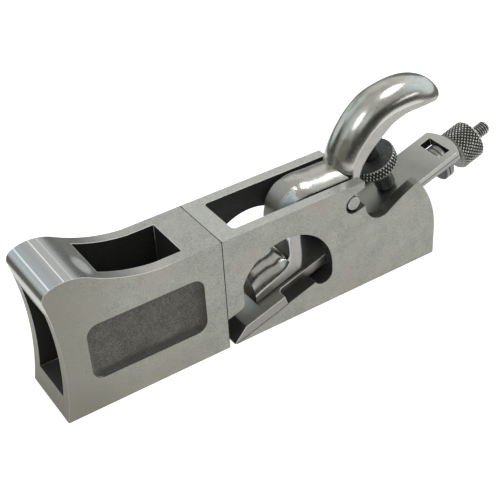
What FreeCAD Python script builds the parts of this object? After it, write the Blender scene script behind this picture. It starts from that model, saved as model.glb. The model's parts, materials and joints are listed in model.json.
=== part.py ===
import FreeCAD, Part
import math
import os
from FreeCAD import Vector

# Three-way shoulder plane with its long nose fitted, in millimetres.
# While it is drawn, x = 0 is the joint of nose and body, y = 0 is mid width
# and z = 0 is the sole. At the end everything moves to the middle of its box.

# Driving dimensions
plane_width = 28.6
body_length = 97.8
body_height = 48.0
nose_length = 66.2
side_wall = 4.5
bed_angle = 17.7
overrun = 3.0
bed_gap = 0.05
running_gap = 0.02
seat_gap = 0.01
tolerance = 0.01
same_way_share = 0.999

# Body casting
front_bridge = 7.5
mouth_gap = 1.8
mouth_land = 1.0
lip_height = 13.1
lip_round = 1.6
lip_round_shares = (0.72, 0.55)
throat_radius = 20.7
throat_front_cut = 1.7
throat_centre_z = 17.1
pocket_length = 7.9
pocket_foot = 14.3
pocket_drop = 1.7
rear_land = 12.0
rear_corner_in = 9.3
rear_corner_drop = 10.2
hand_scoop_drop = 8.4
wall_top_length = 62.5
window_round = 1.5

# Slots for the lever cap's pin, open to the rear
slot_radius = 3.9
slot_centre_x = 57.7
slot_drop = 8.1
slot_rise = 15.0
slot_mouth_x = 63.0
pin_play_share = 0.15

# Nose casting
crest_rise = 10.4
front_hollow = 2.5
nose_floor = 8.4
nose_back_wall = 13.5
front_window_drop = 2.8
top_window_front = 45.0
panel_front_gap = 12.0
panel_back_gap = 8.4
panel_bottom = 13.2
panel_top = 36.6
panel_depth = 2.0
panel_corner = 4.5
panel_bevel = 1.5

# Nose fastenings
fastening_drop = 17.0
nose_screw_radius = 2.5
nose_screw_length = 20.0
nose_screw_head_radius = 4.25
nose_screw_head = 3.6
nose_screw_slot = 1.2
nose_screw_slot_depth = 1.6
dowel_radius = 2.0
dowel_length = 12.0
dowel_spacing = 18.0
dowel_end_gap = 0.2

# Cutter
cutter_tail = 29.04
cutter_thickness = 4.0
cutter_head_length = 25.9
cutter_shank = 19.0
cutter_bevel = 30.0
cutter_edge_back = 0.4
cutter_side_gap = 0.05
cutter_end_crown = 2.6
cutter_neck_round = 2.0
notch_end_gap = 4.2
notch_length = 5.3
notch_width = 12.0

# Lever cap
cap_width = 16.6
cap_reach = 49.4
cap_crown = 6.2
cap_set_back = 0.4
head_rise_share = 1.056
hook_reach = 53.4
hook_rise = 18.2
hook_crown = 8.9
toe_gap = 0.05
section_steps = 3

# Pin pressed through the lever cap
pin_radius = 2.75
pin_end_in = 0.2
pin_end_bevel = 0.3

# Clamping screw under the hook
screw_lean = 26.0
screw_reach = 22.6
foot_radius = 4.0
foot_length = 12.5
foot_round = 1.0
wheel_radius = 9.3
wheel_thickness = 5.0
wheel_bevel = 0.5
stem_radius = 3.0
stem_length = 15.4
stem_chamfer = 0.5
hook_hole_spare = 2.6

# Depth adjuster
stud_drop = 4.3
stud_radius = 2.5
stud_tip = 7.7
stud_grip = 9.7
stud_end_gap = 0.2
stud_chamfer = 0.6
nut_radius = 8.0
nut_length = 11.5
nut_stand_off = 0.2
nut_bevel = 1.0
nut_neck_gap = 0.3
nut_flange_radius = 7.2
nut_flange = 4.4
nut_flange_clear = 0.6
nut_flange_bevel = 0.4

# Worked out from the sizes above
half_width = plane_width / 2
channel = half_width - side_wall
bed_slope = math.radians(bed_angle)
across = Vector(0, 1, 0)
bed_along = Vector(math.cos(bed_slope), 0, math.sin(bed_slope))
bed_up = Vector(-math.sin(bed_slope), 0, math.cos(bed_slope))
cutter_top = bed_gap + cutter_thickness
throat_centre_x = front_bridge + throat_radius - throat_front_cut
fastening_height = body_height - fastening_drop
heel_along = (body_length - mouth_gap) * math.cos(bed_slope)
cutter_length = heel_along + cutter_tail
notch_end = cutter_length - notch_end_gap
notch_start = notch_end - notch_length
nut_flange_start = notch_start + nut_flange_clear
nut_start = cutter_length + nut_stand_off
stud_end_along = nut_start + nut_length + stud_tip
stud_length = stud_end_along - heel_along + stud_grip


def at(x, z, y=0):
    return Vector(x, y, z)


def on_bed(along, above, y=0):
    # A point measured along the bed from the mouth and square to it.
    return at(mouth_gap, 0, y) + bed_along * along + bed_up * above


def outline(start, steps):
    # A closed wire. A step is one point for a line or two for an arc.
    edges = []
    here = start
    for step in steps:
        if isinstance(step, Vector):
            edges.append(Part.LineSegment(here, step).toShape())
            here = step
        else:
            edges.append(Part.Arc(here, step[0], step[1]).toShape())
            here = step[1]
    if here.distanceToPoint(start) > tolerance:
        edges.append(Part.LineSegment(here, start).toShape())
    return Part.Wire(edges)


def slab(start, steps, reach):
    # An outline in the side view, given the same reach to both sides.
    face = Part.Face(outline(start, steps))
    face.translate(across * -reach)
    return face.extrude(across * (reach * 2))


def rod(foot, direction, radius, length):
    return Part.makeCylinder(radius, length, foot, direction)


def turned(foot, direction, profile):
    # A solid of revolution from pairs of radius and distance along its axis.
    points = [Vector(radius, 0, distance) for radius, distance in profile]
    wire = Part.makePolygon(points + [points[0]])
    solid = Part.Face(wire).revolve(Vector(0, 0, 0), Vector(0, 0, 1), 360)
    solid.rotate(Vector(0, 0, 0), across, math.degrees(math.atan2(direction.x, direction.z)))
    solid.translate(foot)
    return solid


def round_upright(solid, direction, radius):
    # Rounds the straight edges that lie along one direction.
    picked = []
    for edge in solid.Edges:
        if edge.Curve.TypeId != "Part::GeomLine":
            continue
        if abs(edge.tangentAt(edge.FirstParameter).dot(direction)) > same_way_share:
            picked.append(edge)
    return solid.makeFillet(radius, picked)


def tangent_arc(start, corner_in, rise):
    # From a vertical tangent at start to a corner further in and higher up.
    radius = (corner_in ** 2 + rise ** 2) / (2 * corner_in)
    half_turn = math.asin(rise / radius) / 2
    middle = start + at(radius * (math.cos(half_turn) - 1), radius * math.sin(half_turn))
    return middle, start + at(-corner_in, rise)


def pin_centre():
    # The pin rests near the middle of the slot's closed end.
    rise = math.radians(slot_rise)
    square = Vector(-math.sin(rise), 0, math.cos(rise))
    play = slot_radius - pin_radius
    return at(slot_centre_x, body_height - slot_drop) + square * play * pin_play_share


def pin_along():
    return (pin_centre() - at(mouth_gap, 0)).dot(bed_along)


def pin_above():
    # The pin's height above the cap's foot.
    return (pin_centre() - at(mouth_gap, 0)).dot(bed_up) - cutter_top - toe_gap


def slot_steps():
    # The pin slot's edge, from its lower mouth round its end to its upper mouth.
    rise = math.radians(slot_rise)
    slide = Vector(math.cos(rise), 0, math.sin(rise))
    square = Vector(-math.sin(rise), 0, math.cos(rise))
    centre = at(slot_centre_x, body_height - slot_drop)
    lower = centre - square * slot_radius
    upper = centre + square * slot_radius
    mouth = lower + slide * ((slot_mouth_x - lower.x) / slide.x)
    lip = upper + slide * ((wall_top_length - upper.x) / slide.x)
    return mouth, [lower, (centre - slide * slot_radius, upper), lip]


# Shares of the scoop's run and drop, from the slot's mouth to the rear corner
scoop_shares = [(0.09, 0.70), (0.275, 1.0), (0.365, 0.965), (0.45, 0.83), (0.725, 0.32)]


def body_outline():
    mouth, round_slot = slot_steps()
    heel = at(body_length, 0)
    arc_rise = body_height - rear_corner_drop - rear_land
    heel_arc = tangent_arc(heel + at(0, rear_land), rear_corner_in, arc_rise)
    run = body_length - rear_corner_in - mouth.x
    scoop = [mouth + at(run * x, -hand_scoop_drop * z) for x, z in scoop_shares]
    throat = at(throat_centre_x, throat_centre_z)
    half_chord = throat_centre_x - front_bridge
    spring = math.sqrt(throat_radius ** 2 - half_chord ** 2)
    throat_back = throat_centre_x + throat_radius
    bed_run = (throat_back - pocket_length - mouth_gap) / math.cos(bed_slope)
    pocket_end = on_bed(bed_run, 0)
    pocket_low = at(throat_back - pocket_length / 3, pocket_end.z - pocket_drop)
    lip_run = (front_bridge - lip_round) / math.cos(bed_slope)
    lip_end = at(0, lip_height) + bed_along * lip_run
    lip_mid = lip_end + at(lip_round * lip_round_shares[0], lip_round * lip_round_shares[1])
    steps = [
        heel,
        heel + at(0, rear_land),
        heel_arc,
        (scoop[4], scoop[3]),
        (scoop[2], scoop[1]),
        (scoop[0], mouth),
        *round_slot,
        at(wall_top_length, body_height),
        at(0, body_height),
        at(0, lip_height),
        lip_end,
        (lip_mid, at(front_bridge, lip_end.z + lip_round)),
        at(front_bridge, throat.z + spring),
        (throat + at(0, throat_radius), throat + at(throat_radius, 0)),
        at(throat_back, pocket_foot),
        (pocket_low, pocket_end),
        on_bed(mouth_land / math.cos(bed_slope), 0),
    ]
    return at(mouth_gap + mouth_land, 0), steps


def body():
    start, steps = body_outline()
    casting = slab(start, steps, half_width)
    floor_start = (front_bridge - mouth_gap) / math.cos(bed_slope)
    floor_end = (body_length + overrun) / math.cos(bed_slope)
    top = body_height + overrun
    trough = slab(
        on_bed(floor_start, 0),
        [on_bed(floor_end, 0), at(on_bed(floor_end, 0).x, top), at(front_bridge, top)],
        channel,
    )
    casting = casting.cut(round_upright(trough, Vector(0, 0, 1), window_round))
    hole = rod(at(-overrun, fastening_height), Vector(1, 0, 0),
               nose_screw_radius + seat_gap, front_bridge + overrun * 2)
    casting = casting.cut(hole)
    for side in (-1, 1):
        seat = at(-overrun, fastening_height, side * dowel_spacing / 2)
        depth = overrun + dowel_length / 2 + dowel_end_gap
        casting = casting.cut(rod(seat, Vector(1, 0, 0), dowel_radius + seat_gap, depth))
    stud_hole = rod(on_bed(stud_end_along, -stud_drop), bed_along * -1,
                    stud_radius + seat_gap, stud_length + stud_end_gap)
    return casting.cut(stud_hole)


# Shares of nose length forward and of the crest's rise, over the nose's top
nose_tip_share = (1.0106, 0.49)
nose_roll_shares = [(1.006, 0.673), (0.982, 0.846), (0.9366, 0.957), (0.884, 1.0)]
nose_back_shares = [(0.817, 0.947), (0.755, 0.798), (0.574, 0.274), (0.3625, 0.0)]


def nose_top(share):
    return at(-nose_length * share[0], body_height + crest_rise * share[1])


def nose():
    tip = nose_top(nose_tip_share)
    roll = [nose_top(share) for share in nose_roll_shares]
    back = [nose_top(share) for share in nose_back_shares]
    steps = [
        at(-nose_length, 0),
        (at(front_hollow - nose_length, tip.z / 2), tip),
        (roll[0], roll[1]),
        (roll[2], roll[3]),
        (back[0], back[1]),
        (back[2], back[3]),
        at(0, body_height),
    ]
    casting = slab(at(0, 0), steps, half_width)
    ahead = nose_length + overrun
    above = body_height + crest_rise + overrun
    bridge_foot = nose_length - (nose_length - top_window_front) / 2
    window = slab(
        at(-ahead, nose_floor),
        [
            at(-nose_back_wall, nose_floor),
            at(-nose_back_wall, above),
            at(-top_window_front, above),
            at(-top_window_front, body_height),
            at(-bridge_foot, body_height - front_window_drop),
            at(-ahead, body_height - front_window_drop),
        ],
        channel,
    )
    casting = casting.cut(window)
    for side in (-1, 1):
        casting = casting.cut(side_panel(side))
    hole = rod(at(-nose_back_wall - overrun, fastening_height), Vector(1, 0, 0),
               nose_screw_radius + seat_gap, nose_back_wall + overrun * 2)
    casting = casting.cut(hole)
    for side in (-1, 1):
        seat = at(-dowel_length / 2 - dowel_end_gap, fastening_height, side * dowel_spacing / 2)
        bore = rod(seat, Vector(1, 0, 0), dowel_radius + seat_gap, dowel_length)
        casting = casting.cut(bore)
    return casting


def side_panel(side):
    # A shallow sunk panel with round corners and a sloping foot.
    length = nose_length - panel_front_gap - panel_back_gap
    height = panel_top - panel_bottom
    depth = panel_depth + overrun
    block = Part.makeBox(length, depth, height)
    block = round_upright(block, across, panel_corner)
    floor = [edge for edge in block.Edges if abs(edge.BoundBox.YMax) < tolerance]
    block = block.makeChamfer(panel_bevel, floor)
    block.translate(at(panel_front_gap - nose_length, panel_bottom, half_width - panel_depth))
    if side < 0:
        block = block.mirror(Vector(0, 0, 0), across)
    return block


def nose_screw():
    # A cheese-head screw, its slot across the head inside the nose.
    head = rod(at(-nose_back_wall - nose_screw_head, fastening_height), Vector(1, 0, 0),
               nose_screw_head_radius, nose_screw_head)
    shank = rod(at(-nose_back_wall, fastening_height), Vector(1, 0, 0),
                nose_screw_radius, nose_screw_length)
    reach = nose_screw_head_radius + overrun
    cross = Part.makeBox(nose_screw_slot_depth + overrun, reach * 2, nose_screw_slot)
    corner = at(-nose_back_wall - nose_screw_head - overrun,
                fastening_height - nose_screw_slot / 2, -reach)
    cross.translate(corner)
    return head.fuse(shank).removeSplitter().cut(cross)


def nose_dowels():
    pins = []
    for side in (-1, 1):
        seat = at(-dowel_length / 2, fastening_height, side * dowel_spacing / 2)
        pins.append(rod(seat, Vector(1, 0, 0), dowel_radius, dowel_length))
    return Part.makeCompound(pins)


def cutter():
    # A T-shaped iron: full width at the mouth and a narrow shank behind.
    full = half_width - cutter_side_gap
    narrow = cutter_shank / 2
    front = cutter_edge_back
    end = cutter_length
    shoulder = end - cutter_end_crown
    plan = [
        on_bed(front, bed_gap, full),
        on_bed(cutter_head_length, bed_gap, full),
        on_bed(cutter_head_length, bed_gap, narrow),
        on_bed(shoulder, bed_gap, narrow),
    ]
    arc = (on_bed(end, bed_gap), on_bed(shoulder, bed_gap, -narrow))
    back = [
        on_bed(cutter_head_length, bed_gap, -narrow),
        on_bed(cutter_head_length, bed_gap, -full),
        on_bed(front, bed_gap, -full),
    ]
    face = Part.Face(outline(plan[0], plan[1:] + [arc] + back))
    blank = face.extrude(bed_up * cutter_thickness)
    inner = []
    for edge in blank.Edges:
        middle = edge.BoundBox.Center - on_bed(cutter_head_length, cutter_top / 2)
        upright = abs(edge.tangentAt(edge.FirstParameter).dot(bed_up)) > same_way_share
        if upright and abs(middle.dot(bed_along)) < overrun and abs(middle.y) < narrow + tolerance:
            inner.append(edge)
    blank = blank.makeFillet(cutter_neck_round, inner)
    bevel_run = cutter_thickness / math.tan(math.radians(cutter_bevel))
    bevel = slab(
        on_bed(front, bed_gap),
        [
            on_bed(front + bevel_run, cutter_top),
            on_bed(front + bevel_run, cutter_top + overrun),
            on_bed(front - overrun, cutter_top + overrun),
            on_bed(front - overrun, bed_gap),
        ],
        half_width,
    )
    notch = slab(
        on_bed(notch_start, -overrun),
        [
            on_bed(notch_end, -overrun),
            on_bed(notch_end, cutter_top + overrun),
            on_bed(notch_start, cutter_top + overrun),
        ],
        notch_width / 2,
    )
    return blank.cut(bevel).cut(notch)


# Lever cap sections, from the toe to the top of the head and from there along
# the hook. A row holds the flat underside's place, the place where the flat
# side ends, the crown above that and the half width. Along is counted from
# just behind the pin, in cap reaches or hook reaches. Above is counted for the
# head from the cap's foot in head rises, and for the hook from there in hook rises.
head_shares = [
    (-1.0, 0.0, -0.980, 0.169, 1.00, 1.00),
    (-0.908, 0.0, -0.896, 0.201, 0.97, 1.00),
    (-0.791, 0.0, -0.790, 0.231, 0.90, 1.00),
    (-0.642, 0.0, -0.683, 0.277, 0.77, 1.00),
    (-0.525, 0.045, -0.622, 0.363, 0.71, 1.00),
    (-0.490, 0.347, -0.597, 0.499, 0.68, 1.00),
    (-0.459, 0.699, -0.560, 0.817, 0.68, 1.00),
    (-0.436, 0.825, -0.503, 1.234, 0.56, 1.00),
    (-0.373, 0.857, -0.406, 1.446, 0.58, 1.00),
    (-0.282, 0.818, -0.282, 1.547, 0.63, 1.00),
    (-0.156, 0.713, -0.114, 1.435, 0.65, 1.00),
    (0.096, 0.650, 0.102, 1.251, 0.65, 1.00),
]
hook_shares = [
    (0.151, 0.085, 0.074, 0.186, 0.60, 1.00),
    (0.185, 0.228, 0.120, 0.397, 0.63, 1.00),
    (0.227, 0.350, 0.164, 0.558, 0.67, 1.00),
    (0.304, 0.497, 0.251, 0.765, 0.73, 1.00),
    (0.418, 0.638, 0.374, 0.938, 0.83, 1.00),
    (0.532, 0.761, 0.510, 0.996, 0.97, 1.00),
    (0.649, 0.773, 0.649, 0.934, 1.00, 1.00),
    (0.758, 0.694, 0.773, 0.807, 0.97, 1.00),
    (0.864, 0.582, 0.883, 0.670, 0.74, 0.93),
    (0.943, 0.457, 0.967, 0.499, 0.38, 0.70),
    (0.986, 0.423, 1.000, 0.443, 0.16, 0.41),
]


def crowned_section(under, shoulder, crown, half):
    # A flat underside, two flat sides and an arched back.
    out = (shoulder - under).normalize()
    lower = [under + across * -half, under + across * half]
    upper = [shoulder + across * half, shoulder + across * -half]
    arch = Part.Arc(upper[0], shoulder + out * crown, upper[1])
    return Part.Wire([
        Part.LineSegment(lower[0], lower[1]).toShape(),
        Part.LineSegment(lower[1], upper[0]).toShape(),
        arch.toShape(),
        Part.LineSegment(upper[1], lower[0]).toShape(),
    ])


def eased_rows(rows):
    # More rows between the given ones, on a smooth curve through them.
    eased = []
    for place in range(len(rows) - 1):
        before = rows[max(place - 1, 0)]
        start = rows[place]
        end = rows[place + 1]
        after = rows[min(place + 2, len(rows) - 1)]
        for step in range(section_steps):
            t = step / section_steps
            eased.append([
                b + t * (c - a) / 2
                + t ** 2 * (a - b * 2.5 + c * 2 - d / 2)
                + t ** 3 * (b * 1.5 - c * 1.5 + d / 2 - a / 2)
                for a, b, c, d in zip(before, start, end, after)
            ])
    return eased + [rows[-1]]


def loft_along(rows, reach, rest, rise, full_crown):
    # Along is counted from just behind the pin, and above from the rest.
    middle = pin_along() + cap_set_back
    wires = []
    for under_x, under_z, shoulder_x, shoulder_z, crown_share, width_share in eased_rows(rows):
        under = on_bed(middle + reach * under_x, rest + rise * max(under_z, 0))
        shoulder = on_bed(middle + reach * shoulder_x, rest + rise * shoulder_z)
        half = cap_width / 2 * min(width_share, 1)
        wires.append(crowned_section(under, shoulder, full_crown * crown_share, half))
    return Part.makeLoft(wires, True, True)


def lever_cap():
    # A casting with flat sides, its back crowned from toe to finger hook.
    foot = cutter_top + toe_gap
    head_rise = pin_above() * head_rise_share
    head = loft_along(head_shares, cap_reach, foot, head_rise, cap_crown)
    hook = loft_along(hook_shares, hook_reach, foot + head_rise, hook_rise, hook_crown)
    casting = head.fuse(hook)
    bore = rod(pin_centre() + across * -half_width, across, pin_radius + seat_gap, plane_width)
    up = screw_axis()
    stem_foot = screw_foot() + up * (foot_length + wheel_thickness)
    thread = rod(stem_foot, up, stem_radius + running_gap, stem_length + hook_hole_spare)
    return casting.cut(bore).cut(thread)


def cap_pin():
    length = plane_width - pin_end_in * 2
    pin = rod(pin_centre() + across * (-length / 2), across, pin_radius, length)
    rims = [edge for edge in pin.Edges if edge.Closed]
    return pin.makeChamfer(pin_end_bevel, rims)


def screw_axis():
    lean = math.radians(screw_lean)
    return Vector(-math.sin(lean), 0, math.cos(lean))


def screw_foot():
    # The foot's rounded end stands just clear of the cutter.
    lift = foot_radius * math.sin(math.radians(screw_lean) - bed_slope)
    return on_bed(pin_along() + screw_reach, cutter_top + toe_gap + lift)


def cap_screw_spindle():
    # The foot below the wheel and the threaded stem above it.
    wheel_top = foot_length + wheel_thickness
    profile = [
        (0, 0),
        (foot_radius - foot_round, 0),
        (foot_radius, foot_round),
        (foot_radius, foot_length - running_gap),
        (stem_radius, foot_length - running_gap),
        (stem_radius, wheel_top + stem_length - stem_chamfer),
        (stem_radius - stem_chamfer, wheel_top + stem_length),
        (0, wheel_top + stem_length),
    ]
    return turned(screw_foot(), screw_axis(), profile)


def cap_screw_wheel():
    bore = stem_radius + running_gap
    top = foot_length + wheel_thickness
    profile = [
        (bore, foot_length),
        (wheel_radius - wheel_bevel, foot_length),
        (wheel_radius, foot_length + wheel_bevel),
        (wheel_radius, top - wheel_bevel),
        (wheel_radius - wheel_bevel, top),
        (bore, top),
    ]
    return turned(screw_foot(), screw_axis(), profile)


def adjuster_stud():
    profile = [
        (0, 0),
        (stud_radius, 0),
        (stud_radius, stud_length - stud_chamfer),
        (stud_radius - stud_chamfer, stud_length),
        (0, stud_length),
    ]
    return turned(on_bed(heel_along - stud_grip, -stud_drop), bed_along, profile)


def adjuster_nut():
    # A knurled barrel, a neck under the cutter's end and a flange in its notch.
    bore = stud_radius + running_gap
    neck = stud_drop - nut_neck_gap
    flange_end = nut_flange_start + nut_flange
    barrel_end = nut_start + nut_length
    profile = [
        (bore, nut_flange_start),
        (nut_flange_radius - nut_flange_bevel, nut_flange_start),
        (nut_flange_radius, nut_flange_start + nut_flange_bevel),
        (nut_flange_radius, flange_end - nut_flange_bevel),
        (nut_flange_radius - nut_flange_bevel, flange_end),
        (neck, flange_end),
        (neck, nut_start),
        (nut_radius - nut_bevel, nut_start),
        (nut_radius, nut_start + nut_bevel),
        (nut_radius, barrel_end - nut_bevel),
        (nut_radius - nut_bevel, barrel_end),
        (bore, barrel_end),
    ]
    return turned(on_bed(0, -stud_drop), bed_along, profile)


def write_parts():
    pieces = {
        "body": body(),
        "nose": nose(),
        "nose_screw": nose_screw(),
        "nose_dowels": nose_dowels(),
        "cutter": cutter(),
        "lever_cap": lever_cap(),
        "cap_pin": cap_pin(),
        "cap_screw_spindle": cap_screw_spindle(),
        "cap_screw_wheel": cap_screw_wheel(),
        "adjuster_stud": adjuster_stud(),
        "adjuster_nut": adjuster_nut(),
    }
    whole = Part.makeCompound(list(pieces.values())).BoundBox
    to_middle = at(-(whole.XMin + whole.XMax) / 2, 0)
    os.makedirs("parts", exist_ok=True)
    for name, piece in pieces.items():
        piece.translate(to_middle)
        print(name, "valid" if piece.isValid() else "NOT VALID", len(piece.Solids),
              round(piece.Volume, 1), piece.BoundBox)
        piece.exportStep(os.path.join("parts", name + ".step"))
    print("moved by", round(to_middle.x, 3), "whole", whole)
    print("pin at", pin_centre() + to_middle, "screw foot at", screw_foot() + to_middle)


write_parts()
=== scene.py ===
import json
import math

import bmesh
import bpy
import numpy as np
from mathutils import Matrix, Vector


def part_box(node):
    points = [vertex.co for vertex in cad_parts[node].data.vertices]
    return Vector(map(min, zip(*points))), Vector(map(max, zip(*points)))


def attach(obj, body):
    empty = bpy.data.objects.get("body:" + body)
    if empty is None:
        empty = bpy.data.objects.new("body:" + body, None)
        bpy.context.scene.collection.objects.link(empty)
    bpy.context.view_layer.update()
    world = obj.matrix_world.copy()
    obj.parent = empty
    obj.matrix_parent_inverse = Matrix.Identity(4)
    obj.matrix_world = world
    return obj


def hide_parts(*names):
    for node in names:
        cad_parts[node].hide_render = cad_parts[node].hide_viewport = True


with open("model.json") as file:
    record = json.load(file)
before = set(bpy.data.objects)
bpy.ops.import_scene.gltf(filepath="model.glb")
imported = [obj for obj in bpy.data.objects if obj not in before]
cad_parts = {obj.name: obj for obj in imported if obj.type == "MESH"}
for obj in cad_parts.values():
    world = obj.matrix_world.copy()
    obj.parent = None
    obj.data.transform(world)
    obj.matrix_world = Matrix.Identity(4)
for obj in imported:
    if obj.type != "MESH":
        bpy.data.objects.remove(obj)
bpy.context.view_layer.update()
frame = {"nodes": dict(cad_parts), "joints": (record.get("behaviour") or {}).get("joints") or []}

joints = {joint["name"]: joint for joint in frame["joints"]}
mm = 0.001
print("frame loaded:", len(frame["nodes"]), "solids")


# The photograph's view
photoView = {
    "place": (-186.374 * mm, -283.394 * mm, 270.509 * mm),
    "heading": -31.13265,  # degrees about the height, from a view along the width
    "tilt": 53.72958,  # degrees up from a view straight down
    "roll": -3.76379,
    "lens": 79.55,  # in millimetres, on a film 36 mm wide
    "reach": (0.01, 20),  # nearest and farthest that is drawn
}


def makeCamera():
    camera = bpy.data.objects.new("photoCamera", bpy.data.cameras.new("photoCamera"))
    bpy.context.scene.collection.objects.link(camera)
    heading = Matrix.Rotation(math.radians(photoView["heading"]), 4, "Z")
    tilt = Matrix.Rotation(math.radians(photoView["tilt"]), 4, "X")
    roll = Matrix.Rotation(math.radians(photoView["roll"]), 4, "Z")
    camera.matrix_world = Matrix.Translation(photoView["place"]) @ heading @ tilt @ roll
    camera.data.lens = photoView["lens"]
    camera.data.clip_start, camera.data.clip_end = photoView["reach"]
    bpy.context.scene.camera = camera


class Signal:
    # A socket that takes part in sums; each sum adds its Math node to the material.
    def __init__(self, finish, socket):
        self.finish = finish
        self.socket = socket

    def maths(self, operation, *values, clamped=False):
        settings = {"operation": operation, "use_clamp": clamped}
        return self.finish.add("Math", settings, dict(enumerate(values)))

    def __add__(self, other):
        return self.maths("ADD", self, other)

    __radd__ = __add__

    def __sub__(self, other):
        return self.maths("SUBTRACT", self, other)

    def __rsub__(self, other):
        return self.maths("SUBTRACT", other, self)

    def __mul__(self, other):
        return self.maths("MULTIPLY", self, other)

    __rmul__ = __mul__

    def __neg__(self):
        return self.maths("MULTIPLY", self, -1)

    def __abs__(self):
        return self.maths("ABSOLUTE", self)

    def root(self):
        return self.maths("SQRT", self)

    def greater(self, other):
        return self.maths("MAXIMUM", self, other)

    def between(self, low, high):
        # 0 at low, 1 at high, eased at both ends
        settings = {"interpolation_type": "SMOOTHSTEP"}
        return self.finish.add("MapRange", settings, {"Value": self, "From Min": low, "From Max": high})

    def strong(self, times):
        # A 0 to 1 pattern with its contrast raised about the middle
        return self.maths("MULTIPLY_ADD", self, times, 0.5 - 0.5 * times, clamped=True)


class Finish:
    # One material, with a single way to add a node.
    def __init__(self, name, tree=None):
        self.material = None
        if tree is None:
            self.material = bpy.data.materials.new(name)
            self.material.use_nodes = True
            tree = self.material.node_tree
        self.tree = tree
        self.tree.nodes.clear()

    def add(self, kind, settings=None, inputs=None, output=0):
        # A node of a kind: its settings come first, then the values or links of its sockets
        node = self.tree.nodes.new("ShaderNode" + kind)
        for key, value in (settings or {}).items():
            setattr(node, key, value)
        for key, value in (inputs or {}).items():
            if isinstance(value, Signal):
                self.tree.links.new(value.socket, node.inputs[key])
            else:
                node.inputs[key].default_value = value
        return Signal(self, node.outputs[output]) if len(node.outputs) else node

    def mix(self, share, low, high):
        # Mix of two colours by a share
        settings = {"data_type": "RGBA"}
        low = (*low, 1) if isinstance(low, tuple) else low
        high = (*high, 1) if isinstance(high, tuple) else high
        return self.add("Mix", settings, {0: share, 6: low, 7: high}, output=2)

    def place(self):
        return self.add("TexCoord", output="Object")

    def axes(self, vector=None):
        split = self.add("SeparateXYZ", {}, {0: vector or self.place()})
        return [Signal(self, split.socket.node.outputs[k]) for k in range(3)]

    def noise(self, size, stretch=(1, 1, 1), detail=2.0, roughness=0.5, tilt=0.0):
        # Cloudy pattern whose blotches are about size metres wide, drawn out by stretch and
        # tilted about the width
        scale = [size * s for s in stretch]
        moved = self.add("Mapping", {"vector_type": "TEXTURE"},
                         {"Vector": self.place(), "Scale": scale, "Rotation": (0, -tilt, 0)})
        settings = {"Vector": moved, "Scale": 1, "Detail": detail, "Roughness": roughness}
        return self.add("TexNoise", {}, settings)

    def blotches(self, size, low, high, detail=2.0, roughness=0.5):
        # Noise eased in from 0 at low to 1 at high
        return self.noise(size, detail=detail, roughness=roughness).between(low, high)

    def blend(self, fine, cloud, look):
        # A fine pattern and a cloudy one, summed by their shares, as a tone from the look's dark to its light
        share = look["fineShare"]
        pattern = fine.strong(look["contrast"]) * share + cloud.strong(look["cloudContrast"]) * (1 - share)
        return self.mix(pattern, look["dark"], look["light"])

    def coats(self, tone, look, covers):
        # Coats over a tone, in their order: each has a cover here, and its tone and share in the look
        for key, cover in covers.items():
            tone = self.mix(cover * look[key + "Share"], tone, look[key + "Tone"])
        return tone

    def metal(self, colour, roughness, height=None, metallic=1.0):
        # The height of the surface is in metres
        inputs = {"Base Color": colour, "Roughness": roughness, "Metallic": metallic}
        if height is not None:
            inputs["Normal"] = self.add("Bump", {}, {"Strength": 1.0, "Distance": 1.0, "Height": height})
        shader = self.add("BsdfPrincipled", {}, inputs)
        self.add("OutputMaterial", {}, {"Surface": shader})
        return self.material


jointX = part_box("nose")[1].x
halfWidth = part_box("body")[1].y
bedAlong = np.array(joints["cutter_slide"]["axis"], float)
bedUp = np.array([-bedAlong[2], 0, bedAlong[0]])
bedTilt = math.atan2(bedAlong[2], bedAlong[0])
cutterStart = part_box("cutter")[0].x
bedStart = cutterStart - 0.4 * mm  # where the bed's line meets the sole


def span(pair, share):
    # The value at a share of the way from a pair's first value to its second
    return pair[0] + (pair[1] - pair[0]) * share


def aboveBed(x, z, start):
    # Height over a line that climbs with the bed, from the sole at start
    return z * bedAlong[0] - (x - start) * bedAlong[2]


# A name with Tone and Share is a coat. Pairs of lengths are where it starts and where it is full, or
# full and gone for a line. Clouds have a size, then the levels of noise where they start and are full.
ironLook = {
    "light": (0.53, 0.53, 0.48),
    "dark": (0.25, 0.25, 0.223),
    "roughness": (0.36, 0.48),
    "grain": 0.6 * mm,
    "grainDepth": 0.010 * mm,
    "contrast": 2.6,
    "fineShare": 0.6,
    "cloud": 6 * mm,
    "cloudContrast": 2.2,
    "warm": (13.8 * mm, 0.48, 0.68),
    "warmTone": (0.445, 0.395, 0.355),
    "warmShare": 0.5,
    "green": (10.2 * mm, 0.52, 0.72),
    "greenTone": (0.345, 0.365, 0.325),
    "greenShare": 0.35,
    "wearAndShade": (-102 * mm, -64 * mm),  # worn up to the first place along the plane, fresh from the second
    "shadeLow": (2 * mm, 20 * mm),  # painted shade in the same way over the height, near the sole, and next along the plane
    "shadeLowEnd": (-60 * mm, -30 * mm),
    "shadeLowPart": 0.375,
    "wearAndShadeTone": (0.285, 0.270, 0.228),
    "wearAndShadeShare": 0.8,
    "speck": (1.3 * mm, 0.71, 0.78),
    "speckTone": (0.13, 0.125, 0.105),
    "speckShare": 0.6,
    "bedLine": (0.18 * mm, 0.6 * mm),
    "bedLineEnd": (-9 * mm, -7 * mm),
    "bedLineTone": (0.025, 0.025, 0.022),
    "bedLineShare": 0.9,
    "joint": (0.085 * mm, 0.238 * mm),
    "jointTone": (0.02, 0.02, 0.018),
    "jointShare": 0.94,
}
topLook = {
    **ironLook,
    "light": (0.72, 0.73, 0.69),
    "dark": (0.44, 0.445, 0.42),
    "roughness": (0.26, 0.36),
    "grainDepth": 0.006 * mm,
    "warmTone": (0.61, 0.59, 0.56),
    "greenTone": (0.54, 0.57, 0.54),
    "wearAndShadeTone": (0.62, 0.62, 0.58),
}
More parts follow.
